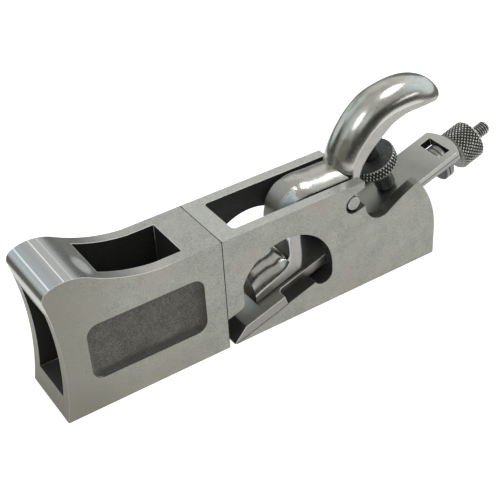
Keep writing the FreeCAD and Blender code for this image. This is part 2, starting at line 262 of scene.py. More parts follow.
# The nose's roll is buffed, with painted highlights along lines across it, round the window and at a spot
rollLook = {
    "heights": (55 * mm, 58 * mm),
    "gloss": 0.16,
    "buffedTone": (0.50, 0.515, 0.52),
    "buffedShare": 0.75,
    "lines": [(-93.3 * mm, 0.30 * mm, 1.0),  # place along the plane, half width and strength
              (-98.7 * mm, 0.40 * mm, 1.0),
              (-90.4 * mm, 0.35 * mm, 0.35)],
    "lineCore": 0.4,
    "window": (jointX - 45.0 * mm, jointX - 13.5 * mm, 9.8 * mm),  # front, back and half width
    "rim": (0.10 * mm, 0.32 * mm),
    "rimHeights": (44 * mm, 47 * mm),
    "rimPart": 0.75,
    "spot": (-83.5 * mm, -5.8 * mm, 2.8 * mm, 7.4 * mm),  # middle, then reach along and across
    "spotEdge": (0.2, 1.0),
    "spotPart": 0.5,
    "paintedHighlightTone": (0.95, 0.96, 0.97),
    "paintedHighlightShare": 1.0,
    "paintedHighlightMatt": 0.7,
}


def paintedHighlightPlaces(x, y, z, roll):
    # Painted highlights, the brightest of: lines at places along the nose, a rim outside the window's edges,
    # an oval spot
    front, back, side = roll["window"]
    outside = (abs(y) - side).greater(front - x).greater(x - back)
    rim = (1 - outside.between(*roll["rim"])) * z.between(*roll["rimHeights"])
    middleX, middleY, reachX, reachY = roll["spot"]
    along = (x - middleX) * (1 / reachX)
    aside = (y - middleY) * (1 / reachY)
    spot = 1 - (along * along + aside * aside).between(*roll["spotEdge"])
    bright = rim * roll["rimPart"]
    for place, width, share in roll["lines"]:
        line = 1 - abs(x - place).between(width * roll["lineCore"], width)
        bright = bright.greater(line * share)
    return bright.greater(spot * roll["spotPart"])


def groundIron(name, look, stretch=(1, 1, 1), roll=None):
    # Surface-ground grey iron: fine grain, warm and greenish clouds and a few dark specks, duller at
    # the worn end (painted shade at the toe on the lever cap's sides), darker near the sole as painted shade,
    # with dark lines along the bed and at the nose's joint
    finish = Finish(name)
    x, y, z = finish.axes()
    grain = finish.noise(look["grain"], stretch, detail=2.0, roughness=0.7)
    cloud = finish.noise(look["cloud"], detail=4.0, roughness=0.6)
    tone = finish.blend(grain, cloud, look)
    shadeLow = (1 - z.between(*look["shadeLow"])) * (1 - x.between(*look["shadeLowEnd"]))
    bedLine = 1 - abs(aboveBed(x, z, bedStart)).between(*look["bedLine"])
    tone = finish.coats(tone, look, {
        "warm": finish.blotches(*look["warm"]),
        "green": finish.blotches(*look["green"], roughness=0.6),
        "wearAndShade": (1 - x.between(*look["wearAndShade"])) + shadeLow * look["shadeLowPart"],
        "speck": finish.blotches(*look["speck"], detail=1.0),
        "bedLine": bedLine * (1 - x.between(*look["bedLineEnd"])),
        "joint": 1 - abs(x - jointX).between(*look["joint"]),
    })
    roughness = span(look["roughness"], cloud)
    metallic = 1.0
    if roll:
        buffed = z.between(*roll["heights"])
        # Painted highlights on the roll, made less metallic so that they stay bright
        paintedHighlight = paintedHighlightPlaces(x, y, z, roll)
        roughness = roughness - buffed * (look["roughness"][0] - roll["gloss"])
        tone = finish.coats(tone, roll, {"buffed": buffed, "paintedHighlight": paintedHighlight})
        metallic = 1 - paintedHighlight * roll["paintedHighlightMatt"]
    return finish.metal(tone, roughness, grain * look["grainDepth"], metallic)


castLook = {
    "light": (0.120, 0.117, 0.106),
    "dark": (0.055, 0.054, 0.048),
    "roughness": (0.50, 0.62),
    "metallic": 0.5,
    "grain": 0.6 * mm,
    "grainDepth": 0.08 * mm,
    "contrast": 1.6,
    "fineShare": 0.6,
    "cloud": 5 * mm,
    "cloudContrast": 1.5,
    "paintedShadeShare": 0.75,
    "paintedShadeEndPart": 0.55,
}


def castIron(name, look):
    # Sand-cast skin, dark and grainy; painted shade may lie low down and towards one end
    finish = Finish(name)
    grain = finish.noise(look["grain"], detail=3.0, roughness=0.7)
    cloud = finish.noise(look["cloud"], detail=3.0)
    tone = finish.blend(grain, cloud, look)
    if "paintedShade" in look:
        x, y, z = finish.axes()
        paintedShade = 1 - z.between(*look["paintedShade"])
        if "paintedShadeEnd" in look:
            paintedShade = paintedShade.greater(x.between(*look["paintedShadeEnd"]) * look["paintedShadeEndPart"])
        tone = finish.coats(tone, look, {"paintedShade": paintedShade})
    return finish.metal(tone, span(look["roughness"], cloud), grain * look["grainDepth"], look["metallic"])


crownLook = {
    "light": (0.68, 0.675, 0.625),
    "dark": (0.43, 0.425, 0.38),
    "roughness": (0.14, 0.27),
    "scratch": {"size": 0.35 * mm, "stretch": (9, 1, 3), "tilt": 0.5},
    "cross": {"size": 0.30 * mm, "stretch": (1, 7, 2), "tilt": 0.9},
    "scratchDepth": 0.0009 * mm,
    "contrast": 1.0,
    "fineShare": 0.45,
    "cloud": 3.5 * mm,
    "cloudContrast": 1.5,
    "glossContrast": 1.4,
    "wave": 6 * mm,
    "waveDepth": 0.07 * mm,
    "stain": (1.8 * mm, 0.58, 0.76),
    "stainTone": (0.36, 0.33, 0.27),
    "stainShare": 0.55,
    "stainMatt": 0.10,
    # Painted highlights along the rims at both sides
    "rim": (8.12 * mm, 8.24 * mm),
    "rimTone": (0.92, 0.91, 0.88),
    "rimShare": 0.7,
    "rimMatt": 0.49,
}


def crownIron(name, look):
    # Iron buffed by hand: soft waves bend the reflections, thin scratches and stains dull them, and
    # the rims along both sides take painted highlights
    finish = Finish(name)
    scratch = finish.noise(**look["scratch"], detail=2.0, roughness=0.6)
    cross = finish.noise(**look["cross"], detail=2.0, roughness=0.6)
    cloud = finish.noise(look["cloud"], detail=4.0, roughness=0.6)
    wave = finish.noise(look["wave"], detail=1.0)
    stain = finish.blotches(*look["stain"])
    rim = abs(finish.axes()[1]).between(*look["rim"])
    tone = finish.coats(finish.blend(scratch, cloud, look), look, {"stain": stain, "rim": rim})
    roughness = span(look["roughness"], cloud.strong(look["glossContrast"])) + stain * look["stainMatt"]
    height = wave * look["waveDepth"] + (scratch + cross) * look["scratchDepth"]
    return finish.metal(tone, roughness, height, 1 - rim * look["rimMatt"])


edgeLook = {
    # The edges round the windows and at the nose take painted highlights
    "bright": (0.78, 0.78, 0.75),
    "brightShares": (0.55, 1.15),
    "brightMatt": 0.75,
    "plain": (0.36, 0.35, 0.315),
    "roughness": (0.24, 0.44),
    "grain": 0.5 * mm,
    "grainDepth": 0.004 * mm,
    "inner": (10.6 * mm, 12.0 * mm),
    "upper": (40 * mm, 44 * mm),
    "nose": (jointX - 26 * mm, jointX - 14 * mm),
    "noseHeights": (30 * mm, 46 * mm),
    "joint": (0.3 * mm, 0.5 * mm),
    "jointTone": (0.015, 0.015, 0.013),
    "jointShare": 0.95,
}


def edgeIron(name, look):
    # Rounded edges: painted highlights round the windows and at the nose, plain outside, black in the joint
    finish = Finish(name)
    x, y, z = finish.axes()
    grain = finish.noise(look["grain"], detail=2.0)
    inner = 1 - abs(y).between(*look["inner"])
    nose = (1 - x.between(*look["nose"])) * z.between(*look["noseHeights"])
    bright = inner.greater(nose) * z.between(*look["upper"])
    tone = finish.mix(bright * span(look["brightShares"], grain), look["plain"], look["bright"])
    tone = finish.coats(tone, look, {"joint": 1 - abs(x - jointX).between(*look["joint"])})
    metallic = 1 - bright * look["brightMatt"]
    return finish.metal(tone, span(look["roughness"], grain), grain * look["grainDepth"], metallic)


steelLook = {
    "light": (0.480, 0.480, 0.440),
    "dark": (0.265, 0.270, 0.238),
    "roughness": (0.28, 0.38),
    "metallic": 1.0,
    "line": 0.22 * mm,
    "lineDepth": 0.004 * mm,
    "contrast": 1.4,
    "fineShare": 0.6,
    "cloud": 5 * mm,
    "cloudContrast": 1.4,
}


def brushedSteel(name, look, stretch=(1, 1, 1), tilt=0.0, covers=None):
    # Steel ground in one direction; covers works out where further coats lie
    finish = Finish(name)
    lines = finish.noise(look["line"], stretch, detail=3.0, roughness=0.65, tilt=tilt)
    cloud = finish.noise(look["cloud"], detail=3.0)
    tone = finish.blend(lines, cloud, look)
    if covers:
        tone = finish.coats(tone, look, covers(look, *finish.axes()))
    return finish.metal(tone, span(look["roughness"], cloud), lines * look["lineDepth"], look["metallic"])


cutterTopLook = {
    **steelLook,
    "end": (60 * mm, 79 * mm),
    "endTone": (0.70, 0.70, 0.655),
    "endShare": 0.6,
    # Painted shadow of the hook and its wheel on the cutter's top
    "under": (22 * mm, 30 * mm, 40 * mm, 52 * mm),  # starts, is full, fades and is gone
    "underSides": (4 * mm, 9 * mm),
    "underMiddle": 0.35,
    "underTone": (0.1325, 0.135, 0.119),
    "underShare": 0.6,
    "mouth": (-12 * mm, -2 * mm),
    "mouthTone": (0.70, 0.70, 0.655),
    "mouthShare": 0.35,
}
cutterSideLook = {
    **steelLook,
    "light": (0.43, 0.415, 0.39),
    "dark": (0.26, 0.25, 0.23),
    "end": (48 * mm, 56 * mm),
    "endTone": (0.56, 0.555, 0.52),
    "endShare": 0.6,
    "mark": 2.1 * mm,  # its height above the cutter's underside
    "markWidth": (0.12 * mm, 0.4 * mm),
    "markStart": (50 * mm, 58 * mm),
    "markTone": (0.06, 0.06, 0.055),
    "markShare": 0.75,
    "lowerEdge": 0.1 * mm,
    "lowerTone": (0.26, 0.25, 0.23),
    "lowerShare": 0.45,
}


def topCovers(look, x, y, z):
    # The cutter's top: pale towards its end and its mouth, with painted shadow where the hook hangs over it
    start, full, fading, gone = look["under"]
    under = x.between(start, full) * (1 - x.between(fading, gone))
    sides = abs(y).between(*look["underSides"]) * (1 - look["underMiddle"]) + look["underMiddle"]
    return {"end": x.between(*look["end"]), "under": under * sides, "mouth": 1 - x.between(*look["mouth"])}


def sideCovers(look, x, y, z):
    # The cutter's sides: pale towards the end, where a dark mark runs with darker steel below it
    above = aboveBed(x, z, cutterStart) - look["mark"]
    there = x.between(*look["markStart"])
    lower = (1 - above.between(-look["lowerEdge"], look["lowerEdge"])) * there
    mark = (1 - abs(above).between(*look["markWidth"])) * there
    return {"end": x.between(*look["end"]), "lower": lower, "mark": mark}


knurlLook = {
    "point": (0.86, 0.85, 0.80),
    "flank": (0.36, 0.355, 0.325),
    "groove": (0.055, 0.054, 0.047),
    "flankDips": (0.0, 0.42),
    "grooveDips": (0.38, 0.80),
    "roughness": (0.30, 0.55),
    "grain": 0.3 * mm,
    "grainDepth": 0.003 * mm,
    "grainPart": 0.3,
}


def knurledSteel(name, look):
    # Steel whose points are painted bright as highlights and whose grooves are painted dark as shade, by the
    # depth kept in the mesh
    finish = Finish(name)
    dip = finish.add("Attribute", {"attribute_name": "dip"}, {}, output="Fac")
    grain = finish.noise(look["grain"], detail=2.0)
    paintedShade = (dip + (grain - 0.5) * look["grainPart"]).between(*look["grooveDips"])
    tone = finish.mix(dip.between(*look["flankDips"]), look["point"], look["flank"])
    tone = finish.mix(paintedShade, tone, look["groove"])
    return finish.metal(tone, span(look["roughness"], dip), grain * look["grainDepth"])


groundSide = groundIron("groundSide", ironLook)
groundTop = groundIron("groundTop", topLook, stretch=(2.5, 1, 1))
noseTop = groundIron("noseTop", {
    **topLook,
    "light": (0.60, 0.60, 0.565),
    "dark": (0.36, 0.36, 0.335),
}, stretch=(1, 3, 1), roll=rollLook)
# A darker copy of the ground iron: painted shade on the scoop's faces, which turn away from the light
scoopIron = groundIron("scoopIron", {
    **ironLook,
    "light": (0.24, 0.235, 0.21),
    "dark": (0.13, 0.127, 0.11),
})
satinSide = groundIron("satinSide", {
    **ironLook,
    "light": (0.58, 0.555, 0.53),
    "dark": (0.44, 0.42, 0.40),
    "roughness": (0.30, 0.40),
    "warmTone": (0.55, 0.49, 0.47),
    # On the lever cap's sides this coat is painted shade, darker towards the toe down in the throat
    "wearAndShade": (-14 * mm, 4 * mm),
})
blackInside = castIron("blackInside", {
    **castLook,
    "light": (0.0552, 0.05382, 0.04876),
    "dark": (0.0253, 0.02484, 0.02208),
    "contrast": 2.6,
})
castPanel = castIron("castPanel", {
    **castLook,
    "light": (0.275, 0.262, 0.235),
    "dark": (0.045, 0.043, 0.038),
    "roughness": (0.62, 0.74),
    "metallic": 0.45,
    "grain": 0.38 * mm,
    "contrast": 4.4,
    # Painted shade along the hollow's foot and by its back wall
    "paintedShade": (14.2 * mm, 16.6 * mm),
    "paintedShadeEnd": (jointX - 13 * mm, jointX - 8.6 * mm),
    "paintedShadeTone": (0.045, 0.043, 0.038),
})
ironEdge = edgeIron("ironEdge", edgeLook)
crownPolish = crownIron("crownPolish", crownLook)
headFront = castIron("headFront", {
    **castLook,
    "light": (0.46, 0.455, 0.42),
    "dark": (0.33, 0.325, 0.295),
    "roughness": (0.36, 0.48),
    "metallic": 0.62,
    "grain": 0.35 * mm,
    "grainDepth": 0.004 * mm,
    # Painted shade over the lower part of the head's front
    "paintedShade": (42 * mm, 44.5 * mm),
    "paintedShadeTone": (0.13, 0.128, 0.115),
})
# Bluish white: a painted reflection of the window at the left, on the slopes of the head's band
headSlope = castIron("headSlope", {
    **castLook,
    "light": (0.80, 0.88, 0.92),
    "dark": (0.62, 0.70, 0.74),
    "roughness": (0.26, 0.38),
    "metallic": 0.7,
    "grain": 0.35 * mm,
    "grainDepth": 0.003 * mm,
})
darkSteel = castIron("darkSteel", {
    **castLook,
    "light": (0.21, 0.225, 0.212),
    "dark": (0.045, 0.050, 0.046),
    "roughness": (0.42, 0.54),
    "metallic": 0.85,
    "grain": 0.9 * mm,
    "grainDepth": 0.02 * mm,
    "contrast": 2.6,
})
alongBed = {"stretch": (9, 1, 1), "tilt": bedTilt}
cutterSteel = brushedSteel("cutterSteel", cutterTopLook, covers=topCovers, **alongBed)
cutterSide = brushedSteel("cutterSide", cutterSideLook, covers=sideCovers, **alongBed)
# Light and partly matt, as painted highlights on the rounded edges of the cutter and small steel parts
cutterEdge = brushedSteel("cutterEdge", {
    **steelLook,
    "light": (0.86, 0.86, 0.82),
    "dark": (0.62, 0.62, 0.58),
    "metallic": 0.45,
}, **alongBed)
pinSteel = brushedSteel("pinSteel", {
    **steelLook,
    "light": (0.46, 0.46, 0.435),
    "dark": (0.28, 0.28, 0.26),
    "line": 0.5 * mm,
})
nutPlain = brushedSteel("nutPlain", {
    **steelLook,
    "light": (0.50, 0.495, 0.46),
    "dark": (0.12, 0.118, 0.107),
    "roughness": (0.26, 0.36),
    "metallic": 0.6,
    "line": 0.5 * mm,
})
nutKnurl = knurledSteel("nutKnurl", knurlLook)
wheelKnurl = knurledSteel("wheelKnurl", {
    **knurlLook,
    "flank": (0.20, 0.20, 0.185),
    "groove": (0.03, 0.03, 0.027),
})
print("finishes made")


def seatPiece(piece, sharpAngle, body, node=None):
    # Smooth but for edges past an angle in degrees, riding on its body in place of its solid
    mesh = piece.data
    mesh.polygons.foreach_set("use_smooth", np.ones(len(mesh.polygons), bool))
    mesh.set_sharp_from_angle(angle=math.radians(sharpAngle))
    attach(piece, body)
    if node:
        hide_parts(node)
    print(piece.name, len(mesh.polygons), "faces")


solidCopy = {"join": 0.002 * mm, "flat": 0.4, "sharp": 32, "edgeSteps": 2}  # angles in degrees


def mergedCopy(node):
    # A solid's mesh with its loose triangles joined and its flats made whole
    grid = bmesh.new()
    grid.from_mesh(frame["nodes"][node].data)
    bmesh.ops.remove_doubles(grid, verts=grid.verts, dist=solidCopy["join"])
    flat = math.radians(solidCopy["flat"])
    bmesh.ops.dissolve_limit(grid, angle_limit=flat, verts=grid.verts, edges=grid.edges)
    mesh = bpy.data.meshes.new(node)
    grid.to_mesh(mesh)
    grid.free()
    return mesh


def facePlaces(mesh):
    # Middles and normals of all faces, as arrays
    count = len(mesh.polygons)
    middle = np.zeros(count * 3)
    normal = np.zeros(count * 3)
    mesh.polygons.foreach_get("center", middle)
    mesh.polygons.foreach_get("normal", normal)
    return middle.reshape(-1, 3), normal.reshape(-1, 3)


def dressNode(name, node, body, materials, sortFaces, width):
    # A solid's merged copy with a finish for each sort of face and the last one on its rounded edges
    mesh = mergedCopy(node)
    piece = bpy.data.objects.new(name, mesh)
    bpy.context.scene.collection.objects.link(piece)
    for material in materials:
        mesh.materials.append(material)
    slots = sortFaces(*facePlaces(mesh))
    mesh.polygons.foreach_set("material_index", np.asarray(slots, np.int32))
    edges = piece.modifiers.new("edges", "BEVEL")
    edges.width = width
    edges.segments = solidCopy["edgeSteps"]
    edges.limit_method = "ANGLE"
    edges.angle_limit = math.radians(solidCopy["sharp"])
    edges.use_clamp_overlap = False
    edges.harden_normals = True
    edges.material = len(materials) - 1
    seatPiece(piece, solidCopy["sharp"], body, node)
    mesh.update()


# Where the castings' faces change their finish
castings = {
    "rounding": 0.16 * mm,
    "slack": 0.06 * mm,
    "square": 0.9,  # how nearly a normal has to follow an axis
    "channel": 9.8 * mm,  # half width
    "beforePin": 3 * mm,
    "slotPlace": (22.7 * mm, 39.9 * mm),  # the pin slot's round end
    "slotReach": 4.4 * mm,
    "scoopEnd": 52 * mm,
    "heel": 14 * mm,
    "heelLean": 0.1,
    "noseFloor": 12 * mm,
    "frontWall": 12 * mm,
    "roof": 40 * mm,
    "roofLean": -0.3,
    "footSides": (0.8 * mm, 0.1 * mm),  # gaps to the channel and to the side
    "footEnds": (11 * mm, 3 * mm),  # gaps to the nose's front and back
    "footHeights": (8 * mm, 36 * mm),
}


def sortBody(middle, normal):
    # 0 ground side, 1 top, 2 dark inside: walls of the channel, throat arches and bed, 3 scoop's face, darker
    #                                      as painted shade
    c = castings
    along, across, height = middle[:, 0], np.abs(middle[:, 1]), middle[:, 2]
    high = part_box("body")[1]
    outerSide = (across > halfWidth - c["slack"]) & (np.abs(normal[:, 1]) > c["square"])
    top = (normal[:, 2] > c["square"]) & (height > high.z - c["slack"])
    wall = ~outerSide & (across > c["channel"])
    scoop = wall & ~top & (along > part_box("cap_pin")[0].x - c["beforePin"])
    slotEnd = np.hypot(along - c["slotPlace"][0], height - c["slotPlace"][1]) < c["slotReach"]
    slots = np.full(len(middle), 2)
    slots[outerSide | (height < c["slack"])] = 0
    slots[top] = 1
    slots[scoop] = 3
    slots[scoop & (along > c["scoopEnd"])] = 0
    slots[wall & slotEnd] = 2
    slots[(normal[:, 0] > c["heelLean"]) & (along > high.x - c["heel"])] = 0
    return slots


def sortNose(middle, normal):
    # 0 ground side, 1 top and roll, 2 dark inside, which on the nose's ground rear face at the mouth is
    # painted shade, 3 the cast foot of the side panel
    c = castings
    along, across, height = middle[:, 0], np.abs(middle[:, 1]), middle[:, 2]
    low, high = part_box("nose")
    inside = across < c["channel"]
    outerSide = (across > halfWidth - c["slack"]) & (np.abs(normal[:, 1]) > c["square"])
    walls = (np.abs(normal[:, 1]) > c["square"]) & (across < c["channel"] + c["slack"])
    floor = (normal[:, 2] > c["square"]) & (height < c["noseFloor"])
    ends = inside & (np.abs(normal[:, 0]) > c["square"]) & (along > low.x + c["frontWall"])
    roof = inside & (normal[:, 2] < c["roofLean"]) & (height > c["roof"])
    foot = (across > c["channel"] + c["footSides"][0]) & (across < halfWidth - c["footSides"][1])
    foot = foot & (along > low.x + c["footEnds"][0]) & (along < high.x - c["footEnds"][1])
    foot = foot & (height > c["footHeights"][0]) & (height < c["footHeights"][1])
    slots = np.zeros(len(middle), int)
    slots[(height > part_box("body")[1].z - c["slack"]) & ~outerSide] = 1
    slots[walls | floor | ends | roof] = 2
    slots[foot] = 3
    return slots


def oneFinish(middle, normal):
    return np.zeros(len(middle), int)


cutterIron = {
    "rounding": 0.24 * mm,
    "notchSide": 8.4 * mm,
    "notchFromShare": 0.7,  # of the cutter's length
    "endRim": 3 * mm,
}


def sortCutter(middle, normal):
    # 0 broad faces, 1 the long sides, 2 the dark walls of the notch, by their place inside the outline
    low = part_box("cutter")[0]
    along = (middle[:, [0, 2]] - [low.x, low.z]) @ bedAlong[[0, 2]]
    end = along.max()
    flat = np.abs(normal @ bedUp) > castings["square"]
    side = np.abs(normal[:, 1]) > castings["square"]
    notch = (along > end * cutterIron["notchFromShare"]) & (along < end - cutterIron["endRim"])
    notch = notch & (np.abs(middle[:, 1]) < cutterIron["notchSide"])
    slots = np.zeros(len(middle), int)
    slots[side & ~flat] = 1
    slots[notch & ~flat] = 2
    return slots


print("castings")
bodyFinishes = [groundSide, groundTop, blackInside, scoopIron, ironEdge]
noseFinishes = [groundSide, noseTop, blackInside, castPanel, ironEdge]
cutterFinishes = [cutterSteel, cutterSide, blackInside, cutterEdge]
smallRounding = {"capPin": 0.1 * mm, "noseScrew": 0.15 * mm, "noseDowels": 0.1 * mm}
dressNode("bodyCasting", "body", "plane_body", bodyFinishes, sortBody, castings["rounding"])
dressNode("noseCasting", "nose", "plane_body", noseFinishes, sortNose, castings["rounding"])

print("cutter and small steel")
dressNode("cutterIron", "cutter", "cutter", cutterFinishes, sortCutter, cutterIron["rounding"])
dressNode("capPin", "cap_pin", "lever_cap", [pinSteel, cutterEdge], oneFinish,
          smallRounding["capPin"])
dressNode("noseScrew", "nose_screw", "plane_body", [nutPlain, cutterEdge], oneFinish,
          smallRounding["noseScrew"])
dressNode("noseDowels", "nose_dowels", "plane_body", [pinSteel, cutterEdge], oneFinish,
          smallRounding["noseDowels"])


def rawObject(name, points, faces, slots, materials, dip=None):
    # A new mesh with its faces turned outwards; the points keep their dips for the knurled finish
    mesh = bpy.data.meshes.new(name)
    mesh.from_pydata(points, [], faces)
    for material in materials:
        mesh.materials.append(material)
    mesh.polygons.foreach_set("material_index", np.asarray(slots, np.int32))
    grid = bmesh.new()
    grid.from_mesh(mesh)
    bmesh.ops.recalc_face_normals(grid, faces=grid.faces)
    grid.to_mesh(mesh)
    grid.free()
    if dip is not None:
        mesh.attributes.new("dip", "FLOAT", "POINT").data.foreach_set("value", dip)
    made = bpy.data.objects.new(name, mesh)
    bpy.context.scene.collection.objects.link(made)
    return made


def ringQuads(points, closed=False):
    # Quads between neighbouring rows of points: each row is a ring, and the last row may meet the first
    rows, columns = points.shape[:2]
    index = np.arange(rows * columns).reshape(rows, columns)
    if closed:
        index = np.concatenate([index, index[:1]])
    beside = np.roll(index, -1, 1)
    return index, np.stack([index[:-1], beside[:-1], beside[1:], index[1:]], axis=-1).reshape(-1, 4)


sidePanel = {
    "frontGap": 12.0 * mm,
    "backGap": 8.4 * mm,
    "bottom": 13.2 * mm,
    "top": 36.6 * mm,
    "corner": 4.5 * mm,
    "cornerPoints": 13,
    "brim": 0.40 * mm,  # depth of the short drop, which ends at an inset of brimEnd
    "brimEnd": 0.12 * mm,
    "brimDepths": (0.06 * mm, 0.25 * mm),  # at the first two insets
    "depth": 1.92 * mm,
    "footWidth": 2.1 * mm,
    "footCurve": 2.2,
    "insets": np.array((0.05, 0.08, 0.12, 0.2, 0.35, 0.55, 0.8, 1.1, 1.45, 1.85, 2.22, 2.8, 3.6, 4.4)) * mm,
    "backInsets": (0.06 * mm, 1.54 * mm),
    "backDepths": (0.5 * mm, 1.985 * mm),
    "sharpAngle": 50,
}


def insetOutline(inset):
    # A rectangle with round corners, drawn in: each corner's centre stays and its radius shrinks
    corner = sidePanel["corner"]
    low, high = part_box("nose")
    left, right = low.x + sidePanel["frontGap"], high.x - sidePanel["backGap"]
    bottom, top = sidePanel["bottom"], sidePanel["top"]
    quarter = np.linspace(0, np.pi / 2, sidePanel["cornerPoints"])
    centres = [(right - corner, top - corner), (left + corner, top - corner),
               (left + corner, bottom + corner), (right - corner, bottom + corner)]
    radius = corner - inset
    arcs = [np.stack([centreX + radius * np.cos(quarter + k * np.pi / 2),
                      centreZ + radius * np.sin(quarter + k * np.pi / 2)], axis=1)
            for k, (centreX, centreZ) in enumerate(centres)]
    return np.concatenate(arcs)


def makePanel(side):
    # The panel's hollow: a short drop at the brim, then a curve that flattens out into the floor.
    # Its back lies against the casting, so the piece is closed.
    insets = sidePanel["insets"]
    share = np.clip((insets - sidePanel["brimEnd"]) / sidePanel["footWidth"], 0, 1)
    fall = 1 - (1 - share) ** sidePanel["footCurve"]
    depths = sidePanel["brim"] + (sidePanel["depth"] - sidePanel["brim"]) * fall
    depths[:2] = sidePanel["brimDepths"]
    rings = [*zip(sidePanel["backInsets"], sidePanel["backDepths"])][::-1] + [*zip(insets, depths)]
    points = np.stack([np.insert(insetOutline(inset), 1, side * (halfWidth - depth), axis=1)
                       for inset, depth in rings])
    index, quads = ringQuads(points)
    faces = quads.tolist() + [index[0].tolist(), index[-1].tolist()]
    name = "nearPanel" if side < 0 else "farPanel"
    piece = rawObject(name, points.reshape(-1, 3), faces, np.zeros(len(faces), int), [castPanel])
    seatPiece(piece, sidePanel["sharpAngle"], "plane_body")


makePanel(-1)
makePanel(1)


def eased(rows, count):
    # Rows resampled on a smooth curve: cubic pieces whose slopes follow the neighbours
    rows = np.asarray(rows, float)
    spot = np.linspace(0, len(rows) - 1, count)
    number = np.minimum(spot.astype(int), len(rows) - 2)
    t = (spot - number)[:, None]
    before = rows[np.maximum(number - 1, 0)]
    here = rows[number]
    ahead = rows[number + 1]
    beyond = rows[np.minimum(number + 2, len(rows) - 1)]
    slope = (ahead - before) / 2
    square = before - 2.5 * here + 2 * ahead - beyond / 2
    cube = 1.5 * here - 1.5 * ahead + beyond / 2 - before / 2
    return here + t * slope + t ** 2 * square + t ** 3 * cube


pinPlace = np.array(joints["lever_cap_tilt"]["pos_m"], float)

leverCap = {
    "halfWidth": 8.3 * mm,
    "setBack": 0.4 * mm,
    "pinAbove": 17.088 * mm,
    "headRise": 18.045 * mm,
    "headReach": 49.4 * mm,
    "headCrown": 6.2 * mm,
    "hookReach": 53.4 * mm,
    "hookRise": 18.18 * mm,
    "hookCrown": 8.9 * mm,
    "sections": 170,
    "soften": 3,  # rounds of averaging that ease the corners
    "bandRows": (4.2, 5.6, 8.5, 8.8),  # rows where the head's flat band starts, is full, fades and ends
    "bandWidths": ((6.1, 6.9, 8.2, 8.9), (0.93, 0.52, 0.50, 0.42)),  # rows, and shares of the width there
    "bandSlant": 0.6,
    "bandFrom": 0.5,
    "bandFlat": 0.97,
    "leastCrown": 0.05 * mm,
    "underPoints": 18,
    "sidePoints": 12,
    "archPoints": 46,
    "sharpAngle": 45,
    "boreSides": 48,
    "boreRadius": 3.02 * mm,
    "boreFrom": 17.5 * mm,
    "boreLength": 18.0 * mm,
}

# Sections: underside along and above, shoulder along and above, crown, half width, all as shares
headRows = [
    (-1.0, 0.0, -0.980, 0.169, 1.00, 1.00),
    (-0.908, 0.0, -0.896, 0.201, 0.97, 1.00),
    (-0.791, 0.0, -0.790, 0.231, 0.90, 1.00),
    (-0.642, 0.0, -0.683, 0.277, 0.77, 1.00),
    (-0.550, 0.010, -0.622, 0.363, 0.62, 1.00),
    (-0.490, 0.347, -0.597, 0.499, 0.14, 1.00),
    (-0.459, 0.699, -0.560, 0.817, 0.14, 1.00),
    (-0.436, 0.825, -0.500, 1.250, 0.76, 1.00),
    (-0.373, 0.857, -0.406, 1.480, 0.90, 1.00),
    (-0.282, 0.818, -0.282, 1.570, 0.76, 1.00),
    (-0.156, 0.713, -0.114, 1.435, 0.68, 1.00),
    (0.096, 0.650, 0.102, 1.251, 0.65, 1.00),
]
hookRows = [
    (0.151, 0.085, 0.074, 0.186, 0.60, 1.00),
    (0.185, 0.228, 0.120, 0.397, 0.63, 1.00),
    (0.227, 0.350, 0.164, 0.558, 0.67, 1.00),
    (0.304, 0.497, 0.251, 0.765, 0.73, 1.00),
    (0.418, 0.638, 0.374, 0.938, 0.83, 1.00),
    (0.532, 0.761, 0.510, 0.996, 0.97, 1.00),
    (0.649, 0.773, 0.649, 0.934, 1.00, 1.00),
    (0.758, 0.694, 0.773, 0.807, 0.97, 1.00),
    (0.864, 0.582, 0.883, 0.670, 0.74, 0.93),
    (0.943, 0.457, 0.967, 0.499, 0.38, 0.70),
    (0.986, 0.423, 1.000, 0.443, 0.16, 0.41),
]


